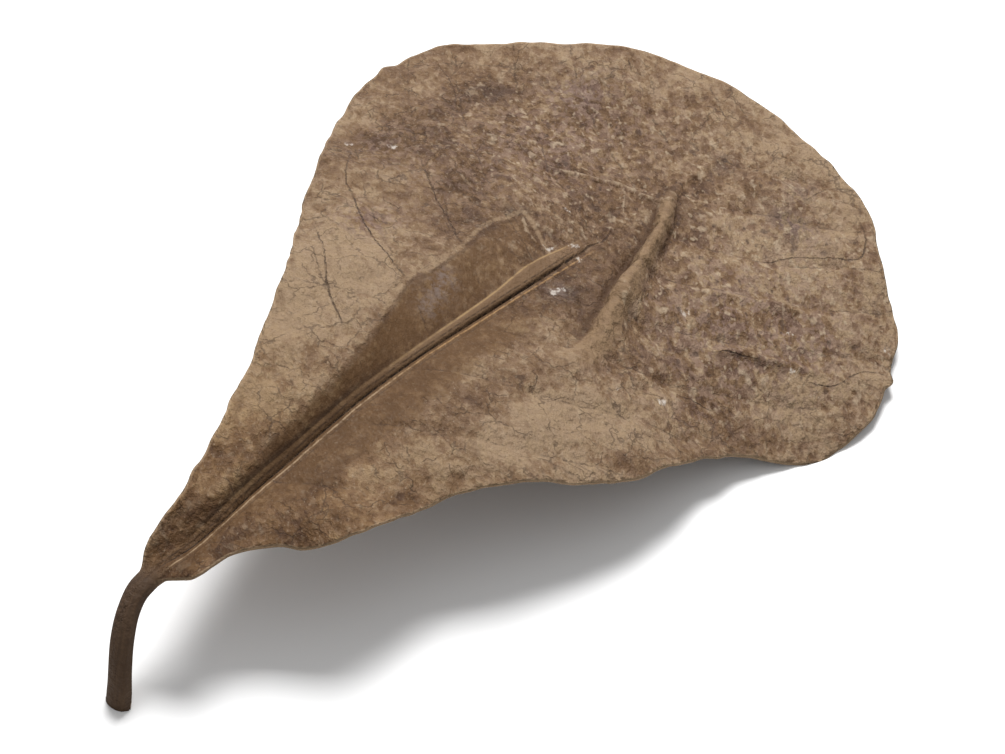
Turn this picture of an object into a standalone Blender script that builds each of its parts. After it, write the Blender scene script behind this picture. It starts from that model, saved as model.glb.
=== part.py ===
"""Dried Indian almond leaf (Terminalia catappa), as picked, lying on a surface.

The leaf grew as one piece, so it is one solid: a short stout petiole, the midrib that carries on from it,
nine pairs of raised side veins on the underside, and the waved, obovate blade. The blade is folded up
along its midrib, arched along its length, pinched into a ridge on one half, and rests on three low
spots: the petiole's cut end, the lobe of the near half and the lobe of the far half.

Frame: +Y runs along the midrib from the petiole to the apex, +X is the near half and -X the far half,
+Z is up and the surface is z = 0. The origin is below the middle of the leaf's box.
A place on the leaf is given as (along, across): millimetres along the midrib from the blade's base,
and millimetres sideways from the midrib, with + on the near half.
"""
import bmesh
import bpy
import numpy as np
from mathutils import Vector
from mathutils.geometry import delaunay_2d_cdt

MM = 0.001
ORIGIN = (-1.4, 69.1)

# Blade thickness, a little stouter than the real 0.4, and the leaf's midline as (along, place) stations
THICKNESS = 0.7
PETIOLE_END = -19.0
BLADE_LENGTH = 150.0
SPINE_X = [(-19, 4.9), (-17, 4.8), (-13, 3.9), (-9, 2.3), (-5, 0.8), (-2, 0.1), (0, 0.1), (6, 0.8), (13, 1),
           (21, 0.6), (31, 0.4), (45, 0.1), (60, 0), (152, 0)]
SPINE_Y = [(-19, -10.6), (-17, -10.5), (-13, -9.6), (-9, -7.5), (-5, -4.6), (-2, -2), (0, 0), (152, 152)]
SPINE_Z = [(-19, 0), (-17, 1.9), (-13, 5.6), (-9, 9), (-5, 11.6), (-2, 13.1), (0, 13.7), (10, 14.4),
           (30, 15.4), (46, 15.9), (62, 14.6), (78, 12.2), (95, 9.5), (117, 6.3), (135, 4.3), (152, 3)]

# Far half: the wall that folds up from the midrib, how high it rises, and the height near the margin
FAR_WALL = [(0, 2), (8, 3.2), (16, 2.6), (24, 2.4), (31, 3), (38, 3.6), (46, 4), (54, 5.6), (61, 7.4),
            (68, 9.6), (74, 9.4), (82, 10), (90, 11.2), (98, 10.8), (152, 11)]
FAR_RISE = [(0, 1), (8, 2.2), (20, 2.8), (35, 3.2), (50, 3.7), (65, 4), (80, 3.3), (95, 2), (108, 0.7),
            (118, 0), (152, 0)]
FAR_REACH = [(0, 3), (6, 6), (20, 10), (40, 17), (60, 27), (80, 38), (100, 48), (115, 52), (152, 52)]
FAR_EDGE = [(0, 15.5), (8, 18.4), (18, 19.2), (30, 20.6), (44, 19.2), (58, 18), (72, 13.3), (86, 10.2),
            (100, 4.7), (116, 2.2), (130, 0.2), (143, 1.4), (152, 1.8)]

# Near half, in the same way
NEAR_WALL = [(0, 2), (8, 2.8), (15, 3), (22, 5), (29, 7.4), (42, 8.2), (52, 8.8), (60, 8.8), (67, 10.8),
             (75, 13), (84, 16), (100, 18), (152, 20)]
NEAR_RISE = [(0, 0.6), (10, 1.4), (25, 2.1), (45, 2.3), (60, 2.1), (75, 1.5), (90, 0.7), (105, 0), (152, 0)]
NEAR_REACH = [(0, 3), (6, 6), (20, 14), (40, 23), (60, 35), (80, 43), (100, 51), (152, 51)]
NEAR_EDGE = [(0, 14.5), (7, 17.2), (15, 16.6), (25, 18.4), (36, 16), (48, 16), (60, 12), (72, 9.2),
             (84, 3), (96, 0.1), (108, 1.6), (120, 0.9), (135, 2.4), (152, 2.2)]
EDGE_POWER = 1.8
CREST_SHARPNESS = 4.5
FOLD_END = 112.0

# Raised creases as (along, across, height): the pinched ridge of the near half and a fine crossing fold
PINCH = [(125, -0.5, 0), (119.5, 1.4, 1), (114, 4.1, 2.2), (107.8, 6.7, 2.9), (100.3, 9, 3.1),
         (94.5, 10.9, 3), (89.7, 12.8, 2.6), (85, 14.5, 2), (80.4, 15.6, 1.3), (75.9, 15.6, 0.8),
         (69.4, 13.5, 0)]
PINCH_STEEP, PINCH_GENTLE = 1.4, 2.1
CREASE = [(112.3, -22.8, 0), (111.8, -15.8, 0.7), (114, -11.4, 0.9), (116.6, -6, 0.9), (118.4, 0.4, 0.8),
          (120, 2.5, 0)]
CREASE_WIDTH = 0.9

# Margin as (along, across), from the petiole's cut end up the far side and down the near side
MARGIN = [(-19, -2.1), (-16.5, -1.7), (-9, -1.5), (-2, -1.5), (0.4, -1.8), (2.4, -3.3), (5.7, -4.5),
          (10.4, -5.5), (15.8, -6.7), (22.9, -8.7), (28.5, -10.8), (35, -12.9), (43.6, -17.1), (54, -22.4),
          (63.7, -28), (74.9, -34.9), (80.6, -38), (88.6, -42.4), (101.6, -48.4), (109.4, -51.2),
          (116.1, -51.8), (122.8, -52), (129.2, -49.8), (132.4, -46.7), (136.1, -41), (142.7, -32.8),
          (147.6, -24), (149.9, -13.6), (150, 0), (149, 5.1), (145.6, 16.7), (141.8, 24.2), (135.3, 30.7),
          (129, 37.8), (124.3, 42.8), (119.2, 45.4), (116.4, 46.5), (113, 48.3), (108, 49.8), (103.4, 49.3),
          (98, 48.3), (94, 45.8), (89.6, 42.4), (83.5, 39.2), (74.5, 37.9), (65.4, 36.2), (55.2, 31),
          (45.8, 25.3), (40.1, 22), (35.3, 20.7), (28, 19.3), (24.1, 18.3), (17.6, 14.3), (14.1, 8.9),
          (9.6, 6), (6.4, 5.9), (3.9, 5.8), (2.5, 3.7), (1.2, 2.1), (-2, 1.5), (-9, 1.5), (-16.5, 1.7),
          (-19, 2.1)]
MARGIN_STEP = 2.0
MARGIN_WAVE, MARGIN_WAVELENGTH = 0.22, 9.5
# Nicks in the margin as (along, across, depth, half width)
NICKS = [(116.4, 46.5, 1.1, 1.4), (83.5, 39.2, 0.5, 1.2), (116.1, -51.6, 0.8, 1.8), (136, -41, 0.7, 1.6)]

# Midrib and petiole: what stands out below and above the blade's own thickness
MIDRIB_DEPTH = [(-19, 1.25), (-6, 1.2), (0, 1.7), (10, 1.9), (30, 1.5), (70, 1), (110, 0.6), (150, 0.15)]
MIDRIB_HALF_WIDTH = [(-19, 2), (0, 1.7), (30, 1.5), (70, 1.2), (110, 1), (150, 0.7)]
PETIOLE_CROWN = [(-19, 1.3), (-16.5, 1.05), (-3, 1), (2, 0.4), (6, 0), (9, 0), (150, 0)]

# Side veins: where each leaves the midrib, and how it bows towards the apex as it runs out
FAR_VEINS = (18, 33, 48, 63, 77, 89, 103, 116, 128)
NEAR_VEINS = (24, 40, 56, 71, 85, 98, 110, 122, 134)
VEIN_SLOPE, VEIN_BOW = 0.42, 0.0085
VEIN_DEPTH = 0.65
VEIN_HALF_WIDTH = 1.1
VEIN_END_GAP = 6.0

# Flat spots that the two lobes rest on, as (along, across, radius, how far the lobe sags towards it)
RESTS = [(100.5, 45, 3.2, 1.3), (128, -43.6, 3.2, 1.3)]
SAG_SPREAD = 11.0

# Spacing of the points that the faces are drawn between: rows along the forms, then a lattice in the rest
VEIN_STEP = 2.5
MIDRIB_STEP = 2.3
RIDGE_STEP = 2.2
RIDGE_OFFSETS = (0, 1, -0.9, 2.1, -1.9, 3.6, -3.2)
CREST_OFFSETS = (0, 1.3, 3, -1.3)
ROW_GAP = 0.85
LATTICE = 2.6
CLEARANCE = 1.5

LEAF_BROWN = (0.245, 0.150, 0.092, 1)


def through(stations, at):
    """Smooth curve through (place, value) stations, read at each place in the array at."""
    place, value = np.array(stations, float).T
    slope = np.gradient(value, place)
    at = np.clip(at, place[0], place[-1])
    k = np.clip(np.searchsorted(place, at) - 1, 0, len(place) - 2)
    span = place[k + 1] - place[k]
    t = (at - place[k]) / span
    rise = (3 - 2 * t) * t ** 2
    return (value[k] + rise * (value[k + 1] - value[k])
            + span * t * (1 - t) * ((1 - t) * slope[k] - t * slope[k + 1]))


def spine(along):
    """Points of the midline, with the leaf's sideways and upward directions there."""
    lines = (SPINE_X, SPINE_Y, SPINE_Z)
    point = np.stack([through(line, along) for line in lines], -1)
    onward = np.stack([through(line, along + 0.5) - through(line, along - 0.5) for line in lines], -1)
    onward /= np.linalg.norm(onward, axis=-1, keepdims=True)
    sideways = np.array([1.0, 0.0, 0.0]) - onward[..., :1] * onward
    sideways /= np.linalg.norm(sideways, axis=-1, keepdims=True)
    return point, sideways, np.cross(sideways, onward)


def from_line(along, across, line):
    """Distance to a line of (along, across, height) points, + on its right, and the height there."""
    distance = np.full(np.shape(along), 1e9)
    height = np.zeros(np.shape(along))
    for (a0, c0, h0), (a1, c1, h1) in zip(line, line[1:]):
        da, dc = a1 - a0, c1 - c0
        t = np.clip(((along - a0) * da + (across - c0) * dc) / (da * da + dc * dc), 0, 1)
        off_a, off_c = along - a0 - t * da, across - c0 - t * dc
        gap = np.hypot(off_a, off_c)
        nearer = gap < np.abs(distance)
        distance = np.where(nearer, np.where(da * off_c < dc * off_a, -gap, gap), distance)
        height = np.where(nearer, h0 + t * (h1 - h0), height)
    return distance, height


def half_lift(along, out, wall, rise, reach, edge):
    """Height of one half above the midline: the fold's wall, its rounded crest, then the droop."""
    t = out / through(wall, along)
    past_crest = np.log1p(np.exp((t - 1) * CREST_SHARPNESS)) - np.log1p(np.exp(-CREST_SHARPNESS))
    fold = t - past_crest / CREST_SHARPNESS
    top = through(rise, along)
    droop = through(edge, along) - through(SPINE_Z, along) - top
    return top * fold + droop * np.minimum(out / through(reach, along), 1.15) ** EDGE_POWER


def lift(along, across):
    """Height of the leaf's middle surface above the midline."""
    out = np.abs(across)
    far = half_lift(along, out, FAR_WALL, FAR_RISE, FAR_REACH, FAR_EDGE)
    near = half_lift(along, out, NEAR_WALL, NEAR_RISE, NEAR_REACH, NEAR_EDGE)
    height = np.where(across < 0, far, near)
    gap, tall = from_line(along, across, PINCH)
    height = height + tall * np.exp(-(gap / np.where(gap > 0, PINCH_GENTLE, PINCH_STEEP)) ** 2)
    gap, tall = from_line(along, across, CREASE)
    height = height + tall * np.exp(-(gap / CREASE_WIDTH) ** 2)
    for rest_along, rest_across, radius, sag in RESTS:
        gap = np.hypot(along - rest_along, across - rest_across)
        height = height - sag * np.exp(-(gap / SAG_SPREAD) ** 2)
    return height * np.clip(along / 4, 0, 1)


def middle(along, across):
    """Points of the leaf's middle surface."""
    point, sideways, upward = spine(along)
    return point + across[..., None] * sideways + lift(along, across)[..., None] * upward


def normals(along, across, step=0.2):
    """Upward normals of the middle surface."""
    onward = middle(along + step, across) - middle(along - step, across)
    sideways = middle(along, across + step) - middle(along, across - step)
    normal = np.cross(sideways, onward)
    return normal / np.linalg.norm(normal, axis=-1, keepdims=True)


def vein_lines():
    """Each side vein as (along, across, depth) points, shallower towards the margin."""
    lines = []
    for side, starts, reach in ((-1, FAR_VEINS, FAR_REACH), (1, NEAR_VEINS, NEAR_REACH)):
        edge = [(along, abs(across)) for along, across in MARGIN[4:-4] if across * side >= 0]
        for start in starts:
            out = np.arange(0, 60, VEIN_STEP * 0.85)
            along = start + VEIN_SLOPE * out + VEIN_BOW * out ** 2
            room = np.interp(along, *zip(*sorted(edge))) - VEIN_END_GAP
            count = np.argmax((out > room) | (along > BLADE_LENGTH - VEIN_END_GAP))
            if count > 2:
                depth = VEIN_DEPTH * (1 - 0.75 * np.arange(count) / (count - 1))
                lines.append(list(zip(along[:count], side * out[:count], depth)))
    return lines


def ribs_below(along, across, veins):
    """How far the midrib and side veins stand out below the blade."""
    half_width = through(MIDRIB_HALF_WIDTH, along)
    arch = np.sqrt(np.clip(1 - (across / half_width) ** 2, 0, 1))
    below = through(MIDRIB_DEPTH, along) * arch
    for line in veins:
        gap, depth = from_line(along, across, line)
        below = np.maximum(below, depth * np.clip(1 - np.abs(gap) / VEIN_HALF_WIDTH, 0, 1))
    return below


def crown_above(along, across):
    """How far the round petiole stands out above."""
    arch = np.sqrt(np.clip(1 - (across / through(MIDRIB_HALF_WIDTH, along)) ** 2, 0, 1))
    return np.maximum(through(PETIOLE_CROWN, along), 0) * arch


def margin_points():
    """The waved and nicked margin as evenly spaced (along, across) points."""
    corners = np.array(MARGIN, float)
    run = np.concatenate([[0], np.cumsum(np.linalg.norm(np.diff(corners, axis=0), axis=1))])
    at = np.linspace(0, run[-1], int(run[-1] / MARGIN_STEP) + 1)
    for along, across, depth, half_width in NICKS:
        nick = run[np.argmin(np.hypot(*(corners - (along, across)).T))]
        at = np.append(at, nick + np.array([-0.5, 0.5]) * half_width)
    at = np.sort(at)
    at = at[np.concatenate([[True], np.diff(at) > 0.6])]
    line = np.stack([through(np.stack([run, corners[:, k]], 1), at) for k in (0, 1)], 1)
    tangent = np.gradient(line, at, axis=0)
    outward = np.stack([tangent[:, 1], -tangent[:, 0]], 1)
    outward /= -np.linalg.norm(outward, axis=1, keepdims=True)
    blade = np.clip((line[:, 0] - 4) / 10, 0, 1)
    shift = MARGIN_WAVE * np.sin(2 * np.pi * at / MARGIN_WAVELENGTH + 1.4 * np.sin(at / 6.3)) * blade
    for along, across, depth, half_width in NICKS:
        gap = np.hypot(line[:, 0] - along, line[:, 1] - across)
        shift = shift - depth * np.exp(-(gap / half_width) ** 2)
    cut_end = [(PETIOLE_END, across) for across in (1.3, 0.5, -0.5, -1.3)]
    return np.concatenate([line + outward * shift[:, None], cut_end])


def inside(points, outline):
    """Whether each point lies inside the closed outline."""
    within = np.zeros(len(points), bool)
    for (a0, c0), (a1, c1) in zip(outline, np.roll(outline, -1, axis=0)):
        between = (a0 > points[:, 0]) != (a1 > points[:, 0])
        with np.errstate(divide="ignore", invalid="ignore"):
            crossing = c0 + (points[:, 0] - a0) / (a1 - a0) * (c1 - c0)
        within ^= between & (points[:, 1] < crossing)
    return within


def far_from(points, others, least):
    """The points that keep at least that distance from the others."""
    gap = np.linalg.norm(points[:, None, :] - others[None, :, :], axis=2).min(axis=1)
    return points[gap > least]


def beside(path, offset):
    """A path of (along, across) points moved sideways."""
    path = np.asarray(path, float)
    sideways = np.gradient(path, axis=0)[:, ::-1] * (-1, 1)
    return path + offset * sideways / np.linalg.norm(sideways, axis=1, keepdims=True)


def midrib_rows():
    """Rows of points on the midrib, on both walls of its fold and just past their crests."""
    petiole = np.arange(PETIOLE_END + 2.5, 4, 2.0)
    along = np.concatenate([petiole, np.arange(4.5, BLADE_LENGTH - 2, MIDRIB_STEP)])
    half_width = through(MIDRIB_HALF_WIDTH, along) * np.where(along > 4, 0.98, 0.5)
    rows = [np.stack([along, part * half_width], 1) for part in (0, -1, 1)]
    fold = (along > 4) & (along < FOLD_END)
    along, foot = along[fold], half_width[fold]
    for side, wall in ((-1, FAR_WALL), (1, NEAR_WALL)):
        crest = np.maximum(through(wall, along), foot + 1.1)
        rows += [np.stack([along, side * (crest + offset)], 1) for offset in CREST_OFFSETS]
        rows.append(np.stack([along, side * (foot + crest) / 2], 1))
    return rows


def ridge_rows():
    """Rows of points along the pinched ridge and down its two sides."""
    points = np.array(PINCH)
    length = np.concatenate([[0], np.cumsum(np.linalg.norm(np.diff(points[:, :2], axis=0), axis=1))])
    run = np.arange(0, length[-1], RIDGE_STEP)
    ridge = np.stack([through(np.stack([length, points[:, k]], 1), run) for k in (0, 1)], 1)
    return [beside(ridge, offset) for offset in RIDGE_OFFSETS]


def vein_rows(veins):
    """Rows of points along the side veins, clear of the pinched ridge, where their own form is lost."""
    rows = []
    for line in veins:
        path = np.array(line)[:, :2]
        for offset in (0, VEIN_HALF_WIDTH, -VEIN_HALF_WIDTH):
            row = beside(path, offset)[1:]
            gap, tall = from_line(row[:, 0], row[:, 1], PINCH)
            rows.append(row[np.abs(gap) > 2 * PINCH_GENTLE])
    return rows


def rest_rows():
    """A middle point and a ring of points for each flat spot."""
    rows = []
    turn = np.arange(6) * np.pi / 3
    for along, across, radius, sag in RESTS:
        ring = np.stack([along + 0.95 * radius * np.cos(turn), across + 0.95 * radius * np.sin(turn)], 1)
        rows += [np.array([(along, across)]), ring]
    return rows


def plan_points(outline, veins):
    """Every point inside the margin, each clear of those placed before it."""
    placed = outline
    kept = []
    for row in rest_rows() + ridge_rows() + midrib_rows() + vein_rows(veins):
        row = row[inside(row, outline)]
        if len(row):
            row = far_from(row, placed, ROW_GAP)
            kept.append(row)
            placed = np.concatenate([placed, row])
    along, across = np.meshgrid(np.arange(6, BLADE_LENGTH, LATTICE * 0.866), np.arange(-56, 56, LATTICE))
    across = across + (np.round(along / (LATTICE * 0.866)) % 2) * LATTICE / 2
    lattice = np.stack([along.ravel(), across.ravel()], 1)
    lattice = lattice[inside(lattice, outline)]
    kept.append(far_from(lattice, placed, CLEARANCE))
    return np.concatenate(kept)


def faces_between(outline, points):
    """Triangles between the margin and the points inside it, as rows of three indices."""
    every = np.concatenate([outline, points])
    rim = len(outline)
    edges = [(k, (k + 1) % rim) for k in range(rim)]
    found = delaunay_2d_cdt([Vector(p) for p in every], edges, [], 1, 1e-6)
    plan = np.array([v[:] for v in found[0]])
    return plan, [tuple(face) for face in found[2]], edges


def set_down(along, across, upper, lower):
    """Presses the lobes' flat spots and the petiole's cut end onto the surface."""
    press = np.zeros(len(along))
    for rest_along, rest_across, radius, sag in RESTS:
        t = np.clip(2 - np.hypot(along - rest_along, across - rest_across) / radius, 0, 1)
        press = np.maximum(press, (3 - 2 * t) * t ** 2)
    press[lower[:, 2] < 0] = 1
    moved = -lower[:, 2] * press
    upper[:, 2] += moved
    lower[:, 2] += moved
    cut = along < PETIOLE_END + 0.01
    upper[cut, 2] = 0
    lower[cut, 2] = 0


def leaf_mesh():
    """The leaf as one closed mesh: an upper and a lower sheet drawn alike, joined round the margin."""
    veins = vein_lines()
    outline = margin_points()
    plan, faces, rim = faces_between(outline, plan_points(outline, veins))
    along, across = plan[:, 0], plan[:, 1]
    centre, normal = middle(along, across), normals(along, across)
    upper = centre + normal * (THICKNESS / 2 + crown_above(along, across))[:, None]
    lower = centre - normal * (THICKNESS / 2 + ribs_below(along, across, veins))[:, None]
    set_down(along, across, upper, lower)
    shift = np.array([*ORIGIN, 0.0])
    mesh = bmesh.new()
    top = [mesh.verts.new((point - shift) * MM) for point in upper]
    base = [mesh.verts.new((point - shift) * MM) for point in lower]
    for a, b, c in faces:
        mesh.faces.new((top[a], top[b], top[c]))
        mesh.faces.new((base[c], base[b], base[a]))
    for a, b in rim:
        mesh.faces.new((top[a], top[b], base[b]))
        mesh.faces.new((top[a], base[b], base[a]))
    bmesh.ops.recalc_face_normals(mesh, faces=mesh.faces)
    return mesh


def leaf_material():
    """Matte, leathery brown."""
    material = bpy.data.materials.new("dried_leaf")
    material.use_nodes = True
    shader = material.node_tree.nodes["Principled BSDF"]
    shader.inputs["Base Color"].default_value = LEAF_BROWN
    shader.inputs["Roughness"].default_value = 0.62
    shader.inputs["Metallic"].default_value = 0.0
    return material


def build():
    for old in list(bpy.data.objects):
        bpy.data.objects.remove(old, do_unlink=True)
    mesh = leaf_mesh()
    data = bpy.data.meshes.new("leaf")
    mesh.to_mesh(data)
    mesh.free()
    data.materials.append(leaf_material())
    data.shade_smooth()
    leaf = bpy.data.objects.new("leaf", data)
    bpy.context.scene.collection.objects.link(leaf)


build()
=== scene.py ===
"""Looks of a dried Indian almond leaf (Terminalia catappa) lying on a pale surface.

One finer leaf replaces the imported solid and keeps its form: the folded and arched blade, the pinched ridge
and the resting lobes. The groove of the midrib, the creases, the quilting, the wrinkles and the curled margin
are added.

A place on the leaf is (along, across): millimetres along the midrib from the blade's base, and millimetres
sideways from the midrib, with + on the near half. Heights and widths are in millimetres too.
"""

import bpy
import numpy as np
from mathutils import Matrix, Vector, noise
from mathutils.geometry import delaunay_2d_cdt
from mathutils.kdtree import KDTree


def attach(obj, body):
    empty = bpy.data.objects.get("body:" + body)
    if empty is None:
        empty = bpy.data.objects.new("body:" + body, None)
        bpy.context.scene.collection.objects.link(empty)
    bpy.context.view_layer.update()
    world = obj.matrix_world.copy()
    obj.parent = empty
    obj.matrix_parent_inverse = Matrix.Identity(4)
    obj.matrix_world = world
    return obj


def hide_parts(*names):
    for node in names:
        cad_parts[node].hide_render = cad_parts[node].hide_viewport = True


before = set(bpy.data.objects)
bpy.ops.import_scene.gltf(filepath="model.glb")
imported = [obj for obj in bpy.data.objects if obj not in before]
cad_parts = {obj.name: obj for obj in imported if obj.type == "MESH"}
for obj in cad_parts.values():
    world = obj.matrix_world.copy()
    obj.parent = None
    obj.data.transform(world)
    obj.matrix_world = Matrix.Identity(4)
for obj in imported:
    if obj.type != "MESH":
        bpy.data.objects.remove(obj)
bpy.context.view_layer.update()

MM = 0.001
ORIGIN = (-1.4, 69.1)

# The form that the solid has too, but thinner and sharper here
THICKNESS = 0.46
PETIOLE_END = -19.0
BLADE_LENGTH = 150.0
SPINE_X = [(-19, 4.9), (-17, 4.8), (-13, 3.9), (-9, 2.3), (-5, 0.8), (-2, 0.1), (0, 0.1), (6, 0.8), (13, 1),
           (21, 0.6), (31, 0.4), (45, 0.1), (60, 0), (152, 0)]
SPINE_Y = [(-19, -10.6), (-17, -10.5), (-13, -9.6), (-9, -7.5), (-5, -4.6), (-2, -2), (0, 0), (152, 152)]
SPINE_Z = [(-19, 0), (-17, 1.9), (-13, 5.6), (-9, 9), (-5, 11.6), (-2, 13.1), (0, 13.7), (10, 14.4),
           (30, 15.4), (46, 15.9), (62, 14.6), (78, 12.2), (95, 9.5), (117, 6.3), (135, 4.3), (152, 3)]
FAR_WALL = [(0, 2), (8, 3.2), (16, 2.6), (24, 2.4), (31, 3), (38, 3.6), (46, 4), (54, 5.6), (61, 7.4),
            (68, 9.6), (74, 9.4), (82, 10), (90, 11.2), (98, 10.8), (152, 11)]
FAR_RISE = [(0, 1), (8, 2.2), (20, 2.8), (35, 3.2), (50, 3.7), (65, 4), (80, 3.3), (95, 2), (108, 0.7),
            (118, 0), (152, 0)]
FAR_REACH = [(0, 3), (6, 6), (20, 10), (40, 17), (60, 27), (80, 38), (100, 48), (115, 52), (152, 52)]
FAR_EDGE = [(0, 15.5), (8, 18.4), (18, 19.2), (30, 20.6), (44, 19.2), (58, 18), (72, 13.3), (86, 10.2),
            (100, 4.7), (116, 2.2), (130, 0.2), (143, 1.4), (152, 1.8)]
NEAR_WALL = [(0, 2), (8, 2.8), (15, 3), (22, 5), (29, 7.4), (42, 8.2), (52, 8.8), (60, 8.8), (67, 10.8),
             (75, 13), (84, 16), (100, 18), (152, 20)]
NEAR_RISE = [(0, 0.6), (10, 1.4), (25, 2.1), (45, 2.3), (60, 2.1), (75, 1.5), (90, 0.7), (105, 0), (152, 0)]
NEAR_REACH = [(0, 3), (6, 6), (20, 14), (40, 23), (60, 35), (80, 43), (100, 51), (152, 51)]
NEAR_EDGE = [(0, 14.5), (7, 17.2), (15, 16.6), (25, 18.4), (36, 16), (48, 16), (60, 12), (72, 9.2),
             (84, 3), (96, 0.1), (108, 1.6), (120, 0.9), (135, 2.4), (152, 2.2)]
EDGE_POWER = 1.8
FAR_CREST_SHARPNESS, NEAR_CREST_SHARPNESS = 11.0, 5.0
PINCH = [(125, -0.5, 0), (119.5, 1.4, 1), (114, 4.1, 2.2), (107.8, 6.7, 2.9), (100.3, 9, 3.1),
         (94.5, 10.9, 3), (89.7, 12.8, 2.6), (85, 14.5, 2), (80.4, 15.6, 1.3), (75.9, 15.6, 0.8),
         (69.4, 13.5, 0)]
PINCH_STEEP = [(60, 2.8), (84, 2.6), (92, 2.1), (100, 1.7), (107, 1.3), (114, 1), (119, 0.8), (152, 0.8)]
PINCH_GENTLE = [(60, 1.7), (84, 1.5), (92, 1.35), (100, 1.2), (107, 1.1), (114, 0.9), (119, 0.8), (152, 0.8)]
CREASE = [(114.5, -25.5, 0), (112.3, -20.5, 0.3), (111.8, -15.8, 0.45), (114, -11.4, 0.5), (116.6, -6, 0.5),
          (118.4, 0.4, 0.5), (120, 2.5, 0)]
CREASE_WIDTH = 0.42
MARGIN = [(-19, -2.1), (-16.5, -1.7), (-9, -1.5), (-2, -1.5), (0.4, -1.8), (2.4, -3.3), (5.7, -4.5),
          (10.4, -5.5), (15.8, -6.7), (22.9, -8.7), (28.5, -10.8), (35, -12.9), (43.6, -17.1), (54, -22.4),
          (63.7, -28), (74.9, -34.9), (80.6, -38), (88.6, -42.4), (101.6, -48.4), (109.4, -51.2),
          (116.1, -51.8), (122.8, -52), (129.2, -49.8), (132.4, -46.7), (136.1, -41), (142.7, -32.8),
          (147.6, -24), (149.9, -13.6), (150, 0), (149, 5.1), (145.6, 16.7), (141.8, 24.2), (135.3, 30.7),
          (129, 37.8), (124.3, 42.8), (119.2, 45.4), (116.4, 46.5), (113, 48.3), (108, 49.8), (103.4, 49.3),
          (98, 48.3), (94, 45.8), (89.6, 42.4), (83.5, 39.2), (74.5, 37.9), (65.4, 36.2), (55.2, 31),
          (45.8, 25.3), (40.1, 22), (35.3, 20.7), (28, 19.3), (24.1, 18.3), (17.6, 14.3), (14.1, 8.9),
          (9.6, 6), (6.4, 5.9), (3.9, 5.8), (2.5, 3.7), (1.2, 2.1), (-2, 1.5), (-9, 1.5), (-16.5, 1.7),
          (-19, 2.1)]
MARGIN_WAVE, MARGIN_WAVELENGTH = 0.07, 9.5
MARGIN_DRIFT, MARGIN_DRIFT_LENGTH = 1.4, 6.3
# Small tips that stand out of the margin as (along, across, height, half width)
TIPS = [(116.4, 46.5, 1.1, 1.4), (83.5, 39.2, 0.5, 1.2), (116.1, -51.6, 0.8, 1.8), (136, -41, 0.7, 1.6)]
MIDRIB_DEPTH = [(-19, 1.25), (-6, 1.2), (0, 1.7), (10, 1.9), (30, 1.5), (70, 1), (110, 0.6), (150, 0.15)]
MIDRIB_HALF_WIDTH = [(-19, 2), (0, 1.7), (30, 1.5), (70, 1.2), (110, 1), (150, 0.7)]
PETIOLE_CROWN = [(-19, 1.3), (-16.5, 1.05), (-3, 1), (2, 0.4), (6, 0), (9, 0), (150, 0)]
FAR_VEINS = (18, 33, 48, 63, 77, 89, 103, 116, 128)
NEAR_VEINS = (24, 40, 56, 71, 85, 98, 110, 122, 134)
VEIN_SLOPE, VEIN_BOW = 0.42, 0.0085
DROOP_END = 1.15
BASE_FADE = 4.0
RESTS = [(100.5, 45), (128, -43.6)]
REST_REACH = 3.2
SAG, SAG_SPREAD = 1.3, 11.0

# Ripples as (height, size, seed), with the stretch across before them in LUMPS
MARGIN_RIPPLES = [(0.18, 6.0, 9.5), (0.16, 2.2, 5.5)]
VEIN_WANDER = (0.7, 9, 3.3)
CREASE_WANDER = (0.6, 2.8, 8.8)
RUNG_WANDER = (0.35, 5, 7.7)
CURL = (0.2, 9, 6.6)
LUMPS = [(1, 0.6, 16, 1.1), (1.5, 0.5, 7, 2.2), (1, 0.22, 2.9, 4.4)]

# Fine forms. The solid lacks them, but for the side veins
QUILT_HEIGHT, UNDER_QUILT_DEPTH = 0.28, 0.24
QUILT_START, QUILT_FADE = 2.5, 4.0
CHANNEL_DEPTH, CHANNEL_HALF_WIDTH = 0.16, 0.55
VEIN_HEIGHT, VEIN_HALF_WIDTH = 0.62, 0.62
RUNG_HEIGHT, RUNG_HALF_WIDTH, RUNG_SPACING = 0.16, 0.45, 5.2
LIP_HEIGHT, LIP_HALF_WIDTH, LIP_OUT = 0.2, 0.35, 0.95
CURL_REACH, EDGE_FADE = 4.0, 4.0
ROLL_HEIGHT, ROLL_REACH, ROLL_AT = 0.9, 0.9, 9.0
FLAT_REACH = 5.0
EDGE_SET_BACK, EDGE_LEAST_HEIGHT = 0.12, 0.05
EDGE_THINNING, EDGE_THIN_REACH = 0.3, 0.8
GROOVE_AT, GROOVE_HALF_WIDTH = 0.15, 0.34
GROOVE_DEPTH = [(0, 0.1), (5, 0.15), (30, 0.25), (60, 0.4), (78, 0.75), (90, 0.6), (98, 0.2), (104, 0),
                (108, 0), (150, 0)]
STRIP_WIDTH = [(0, 1.1), (40, 1.1), (60, 1.3), (80, 1.9), (90, 2.7), (98, 2), (110, 1), (150, 0.6)]
STRIP_RISE = [(0, 0), (10, 0.05), (40, 0.08), (60, 0.18), (90, 0.3), (98, 0.15), (106, 0), (112, 0), (150, 0)]
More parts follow.
